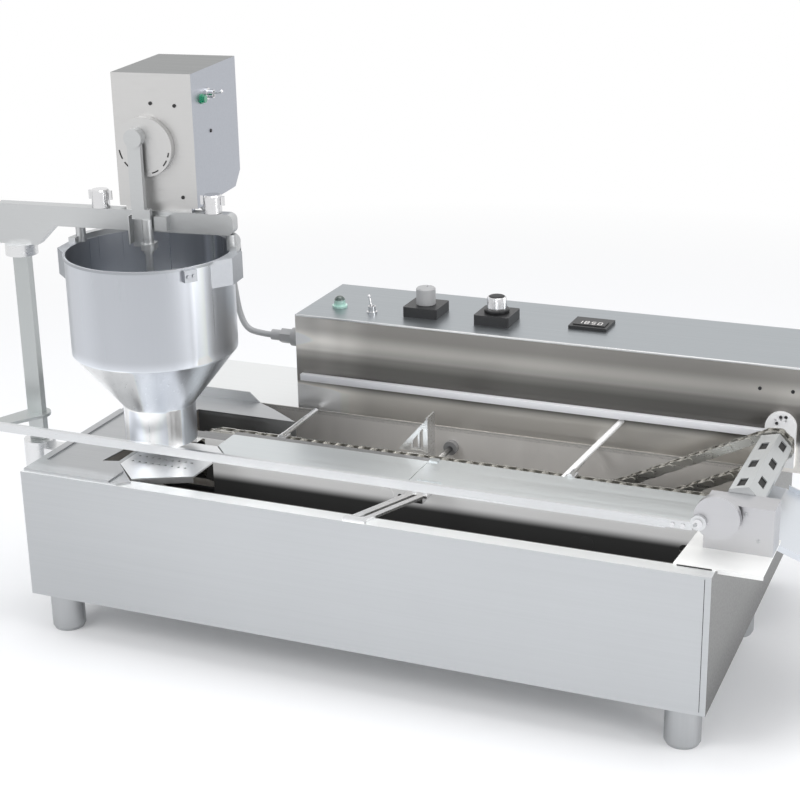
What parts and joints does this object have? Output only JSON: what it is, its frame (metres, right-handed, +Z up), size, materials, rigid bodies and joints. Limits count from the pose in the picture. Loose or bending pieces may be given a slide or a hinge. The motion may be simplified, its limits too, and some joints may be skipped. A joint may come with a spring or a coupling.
{
  "type": "automatic ring doughnut fryer",
  "caption": "Countertop stainless ring doughnut fryer with a swinging batter hopper, a lengthwise chain conveyor in an oil tank, an out-feed drum and a control box.",
  "frame": {"origin": "on the floor under the middle of the bounding box", "axes": "+X along the machine towards the out-feed drum and chute, +Y to the control box at the back, +Z up"},
  "size_m": [1.05, 0.46, 0.674],
  "materials": {
    "body_steel": "brushed stainless sheet",
    "leg_grey": "satin grey",
    "tank_steel": "oiled stainless",
    "dark_steel": "heat-darkened tube",
    "deck_steel": "brushed stainless sheet",
    "cover_steel": "smooth stainless sheet",
    "bright_steel": "bright stainless",
    "chain_steel": "oiled roller chain",
    "motor_paint": "grey enamel",
    "box_steel": "brushed stainless housing",
    "ledge_white": "white strip",
    "lamp_green": "green lens",
    "black_plastic": "black moulding",
    "grey_plastic": "grey moulding",
    "chrome_trim": "plated",
    "cable_grey": "grey sheath",
    "shaft_steel": "ground bar",
    "wheel_iron": "oiled machined wheel",
    "post_steel": "bright bar",
    "arm_aluminium": "machined",
    "hopper_polish": "polished stainless"
  },
  "bodies": {
    "base": {"body_shell": "body_steel", "legs": "leg_grey", "oil_tank": "tank_steel", "heating_element": "dark_steel", "left_deck": "deck_steel", "drop_plate": "deck_steel", "rear_deck": "deck_steel", "beam_channel": "tank_steel", "beam_covers": "cover_steel", "cross_bracket": "bright_steel", "right_deck": "bright_steel", "front_gear_box": "bright_steel", "rear_bearing": "bright_steel", "conveyor_chain": "chain_steel", "paddle_rods": "bright_steel", "drive_chain": "chain_steel", "gear_motor": "motor_paint", "out_chute": "cover_steel", "control_box": "box_steel", "ledge": "ledge_white", "knob_bases": "black_plastic", "control_lamp": "lamp_green", "display": "black_plastic", "box_bush": "chrome_trim", "box_gland": "grey_plastic", "cable": "cable_grey", "post_bracket": "bright_steel"},
    "drum": {"drum": "bright_steel", "drum_shaft": "shaft_steel", "drum_wheels": "wheel_iron"},
    "crank": {"crank_disc": "bright_steel", "crank_gear": "wheel_iron"},
    "drive": {"drive_shaft": "wheel_iron"},
    "tail": {"tail_sprocket": "wheel_iron"},
    "lead": {"head_sprocket": "wheel_iron"},
    "flipper": {"mid_flipper": "bright_steel"},
    "link": {"link_bar": "body_steel", "link_pins": "chrome_trim"},
    "head": {"post": "post_steel", "post_lever": "post_steel", "post_collar": "bright_steel", "arm": "arm_aluminium", "yoke": "arm_aluminium", "hopper_ring": "arm_aluminium", "hopper": "hopper_polish", "head_shell": "box_steel", "head_motor": "motor_paint", "head_lamp": "lamp_green", "head_bush": "chrome_trim", "head_gland": "black_plastic", "rod_guide": "arm_aluminium"},
    "head_crank": {"head_disc": "bright_steel"},
    "plunger": {"connecting_rod": "arm_aluminium", "plunger": "shaft_steel"},
    "heat_knob": {"heat_knob": "grey_plastic"},
    "speed_knob": {"speed_knob": "chrome_trim"},
    "box_toggle": {"box_toggle": "chrome_trim"},
    "head_toggle": {"head_toggle": "chrome_trim"},
    "left_knob": {"left_clamp_knob": "chrome_trim"},
    "right_knob": {"right_clamp_knob": "chrome_trim"}
  },
  "joints": [
    {"name": "head_swing", "type": "hinge", "parent": "base", "child": "head", "pos_m": [-0.476, -0.106, 0.15], "axis": [0, 0, 1], "range_deg": [0, 25.7], "deforming": ["cable"]},
    {"name": "link_slide", "type": "slide", "parent": "base", "child": "link", "axis": [1, 0, 0], "range_m": [0, 0.03614]},
    {"name": "drum_spin", "type": "hinge", "parent": "base", "child": "drum", "pos_m": [0.428, -0.05, 0.257], "axis": [0, 1, 0], "continuous": true},
    {"name": "crank_spin", "type": "hinge", "parent": "base", "child": "crank", "pos_m": [0.411, -0.17, 0.257], "axis": [0, 1, 0], "continuous": true},
    {"name": "drive_spin", "type": "hinge", "parent": "base", "child": "drive", "pos_m": [0.24611, 0.02, 0.1664], "axis": [0, 1, 0], "continuous": true},
    {"name": "tail_spin", "type": "hinge", "parent": "base", "child": "tail", "pos_m": [-0.26, -0.019, 0.17633], "axis": [0, 1, 0], "continuous": true},
    {"name": "lead_spin", "type": "hinge", "parent": "base", "child": "lead", "pos_m": [0.35913, -0.019, 0.17633], "axis": [0, 1, 0], "continuous": true},
    {"name": "flipper_turn", "type": "hinge", "parent": "base", "child": "flipper", "pos_m": [0.017, 0.02, 0.19033], "axis": [0, 1, 0], "range_deg": [0, 100]},
    {"name": "head_crank_spin", "type": "hinge", "parent": "head", "child": "head_crank", "pos_m": [-0.29835, -0.0928, 0.589], "axis": [-0.1132, 0.9936, 0], "continuous": true},
    {"name": "plunger_slide", "type": "slide", "parent": "head", "child": "plunger", "axis": [0, 0, 1], "range_m": [-0.026, 0.001]},
    {"name": "heat_turn", "type": "hinge", "parent": "base", "child": "heat_knob", "pos_m": [-0.041, 0.141, 0.363], "axis": [0, 0, -1], "range_deg": [0, 270]},
    {"name": "speed_turn", "type": "hinge", "parent": "base", "child": "speed_knob", "pos_m": [0.056, 0.138, 0.363], "axis": [0, 0, -1], "range_deg": [0, 270]},
    {"name": "box_toggle_flip", "type": "hinge", "parent": "base", "child": "box_toggle", "pos_m": [-0.108, 0.121, 0.348], "axis": [0, 1, 0], "range_deg": [0, 24]},
    {"name": "head_toggle_flip", "type": "hinge", "parent": "head", "child": "head_toggle", "pos_m": [-0.23954, -0.03477, 0.644], "axis": [-0.1132, 0.9936, 0], "range_deg": [0, 24]},
    {"name": "left_knob_turn", "type": "hinge", "parent": "head", "child": "left_knob", "pos_m": [-0.36472, -0.09332, 0.522], "axis": [0, 0, -1], "range_deg": [0, 180]},
    {"name": "right_knob_turn", "type": "hinge", "parent": "head", "child": "right_knob", "pos_m": [-0.22165, -0.07702, 0.522], "axis": [0, 0, -1], "range_deg": [0, 180]}
  ],
  "couplings": [
    {"joint": "link_slide", "follows": "head_swing", "m_per_rad": 0.080122},
    {"joint": "crank_spin", "follows": "drum_spin", "ratio": -1},
    {"joint": "drive_spin", "follows": "drum_spin", "ratio": 1},
    {"joint": "tail_spin", "follows": "drum_spin", "ratio": 0.66667},
    {"joint": "lead_spin", "follows": "drum_spin", "ratio": 0.66667}
  ]
}
